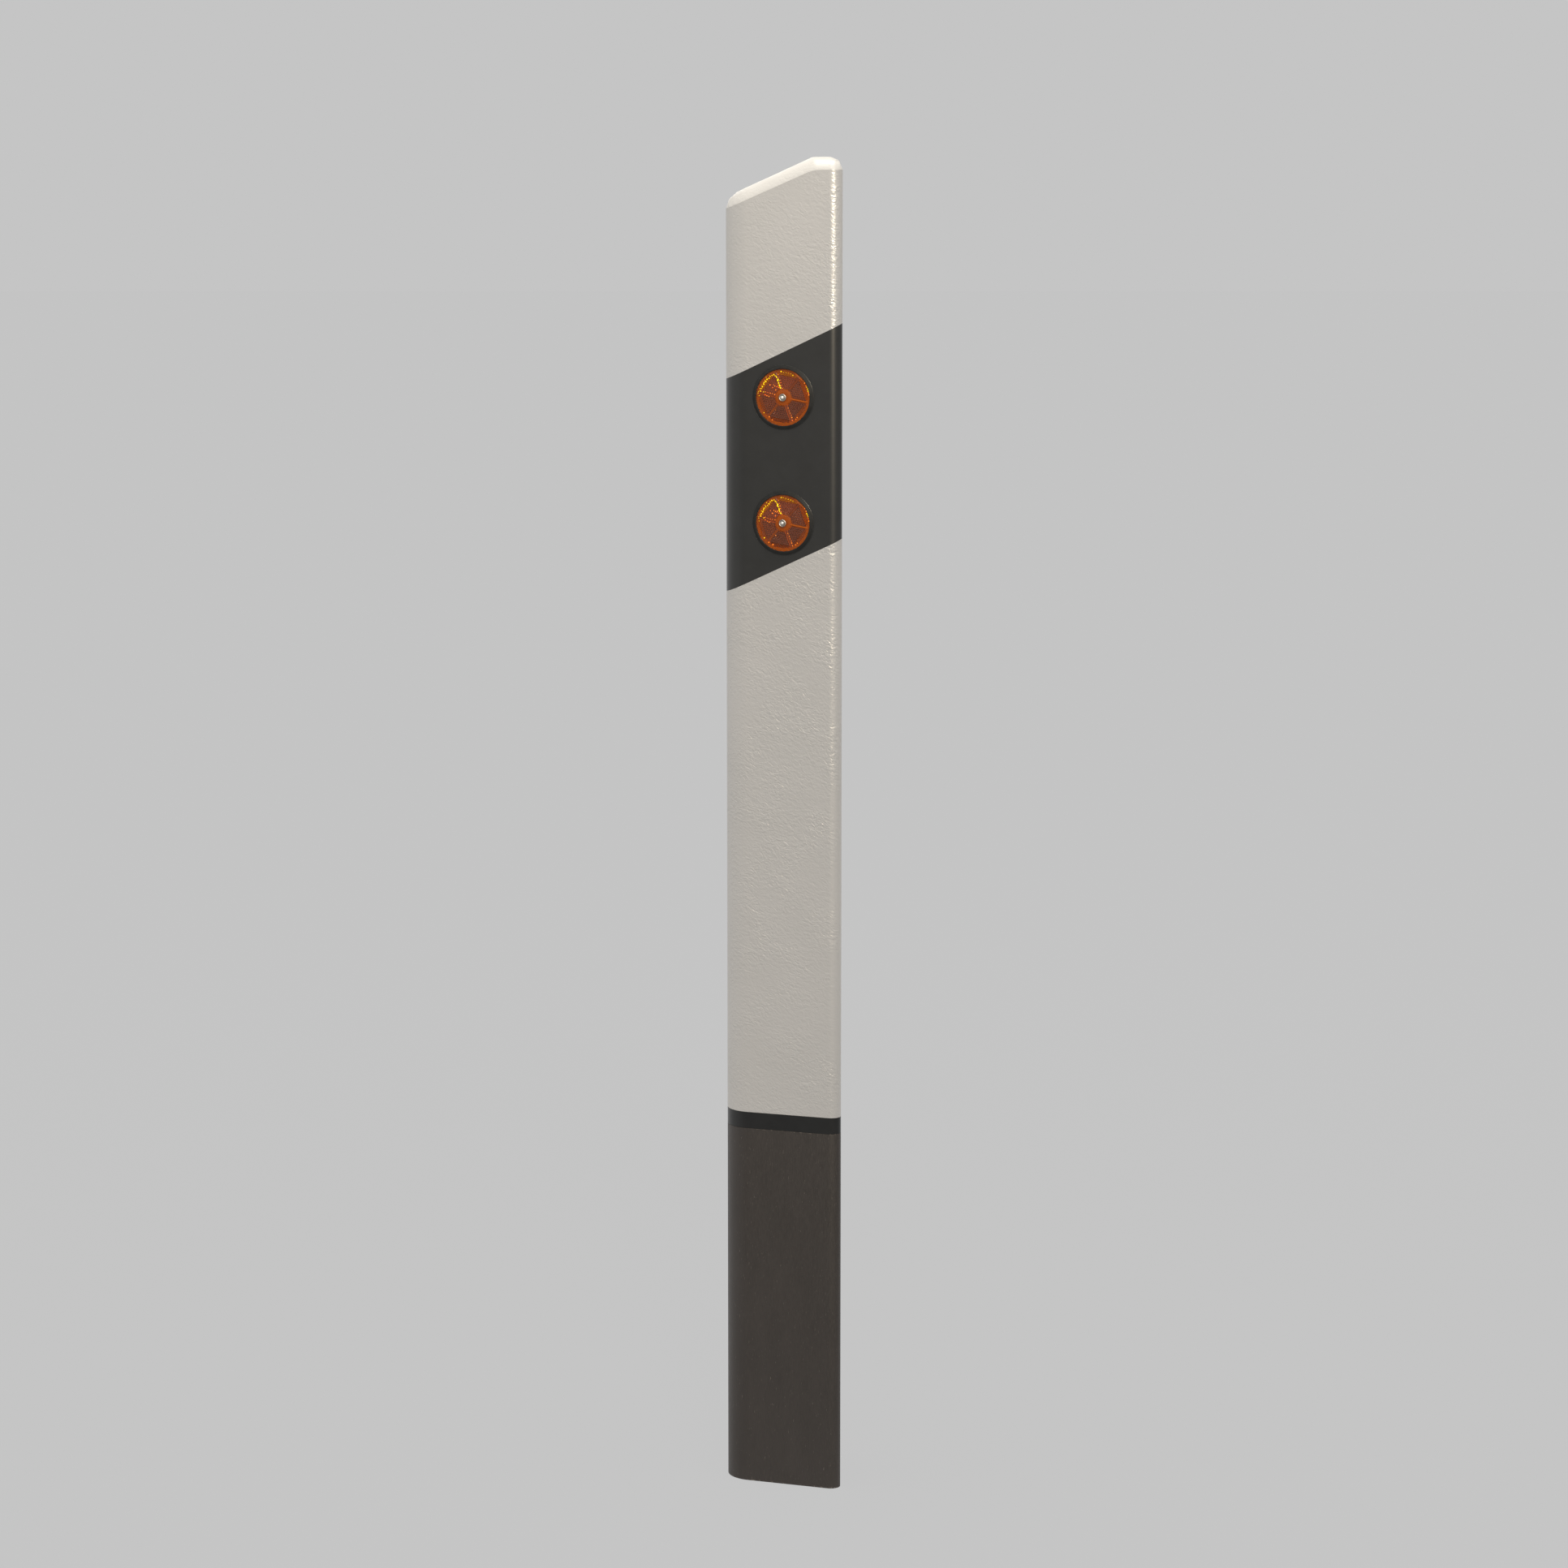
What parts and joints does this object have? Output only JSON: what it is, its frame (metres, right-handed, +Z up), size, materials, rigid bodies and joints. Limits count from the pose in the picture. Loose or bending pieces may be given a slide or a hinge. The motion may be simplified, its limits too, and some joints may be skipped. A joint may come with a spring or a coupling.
{
  "type": "delineator post",
  "caption": "Two-part roadside delineator: triangular white hollow post with a slanted roof, black band and amber reflectors, plugged onto a dark foot that is buried up to its collar.",
  "frame": {"origin": "centre of the bottom of the bounding box, on the underside of the foot", "axes": "+Z up along the post; -X is the rounded nose that points towards the road, +X is the flat base wall; -Y is the front face with the two round reflectors, +Y the rear face with the long one"},
  "size_m": [0.123, 0.122, 1.4395],
  "materials": {
    "foot_plastic": "recycled plastic, brown-black, fine vertical streaks",
    "collar_plastic": "smooth moulded black plastic",
    "post_plastic": "warm white polyethylene with a fine leathery orange-peel grain",
    "band_plastic": "smooth satin black sleeve",
    "housing_plastic": "fine satin black moulded plastic",
    "amber_lens": "clear amber acrylic with moulded prisms behind a smooth front",
    "seal_rubber": "closed-cell foam ring",
    "rivet_aluminium": "bright aluminium",
    "mandrel_steel": "zinc-plated steel"
  },
  "bodies": {
    "foot": {"foot_shell": "foot_plastic", "coupling": "collar_plastic", "foot_rivet_left": "rivet_aluminium", "foot_rivet_mandrel_left": "mandrel_steel", "foot_rivet_right": "rivet_aluminium", "foot_rivet_mandrel_right": "mandrel_steel"},
    "post": {"post_shell": "post_plastic", "band_sleeve": "band_plastic", "top_cap": "post_plastic", "upper_reflector_housing": "housing_plastic", "upper_reflector_lens": "amber_lens", "upper_reflector_seal": "seal_rubber", "upper_reflector_rivet": "rivet_aluminium", "upper_reflector_rivet_mandrel": "mandrel_steel", "upper_reflector_backing_washer": "rivet_aluminium", "lower_reflector_housing": "housing_plastic", "lower_reflector_lens": "amber_lens", "lower_reflector_seal": "seal_rubber", "lower_reflector_rivet": "rivet_aluminium", "lower_reflector_rivet_mandrel": "mandrel_steel", "lower_reflector_backing_washer": "rivet_aluminium", "rear_reflector_housing": "housing_plastic", "rear_reflector_lens": "amber_lens", "rear_reflector_seal": "seal_rubber", "rear_reflector_upper_rivet": "rivet_aluminium", "rear_reflector_upper_rivet_mandrel": "mandrel_steel", "rear_reflector_upper_backing_washer": "rivet_aluminium", "rear_reflector_lower_rivet": "rivet_aluminium", "rear_reflector_lower_rivet_mandrel": "mandrel_steel", "rear_reflector_lower_backing_washer": "rivet_aluminium"}
  },
  "joints": [
    {"name": "post_lift", "type": "slide", "parent": "foot", "child": "post", "axis": [0, 0, 1], "range_m": [0, 0.135]}
  ]
}
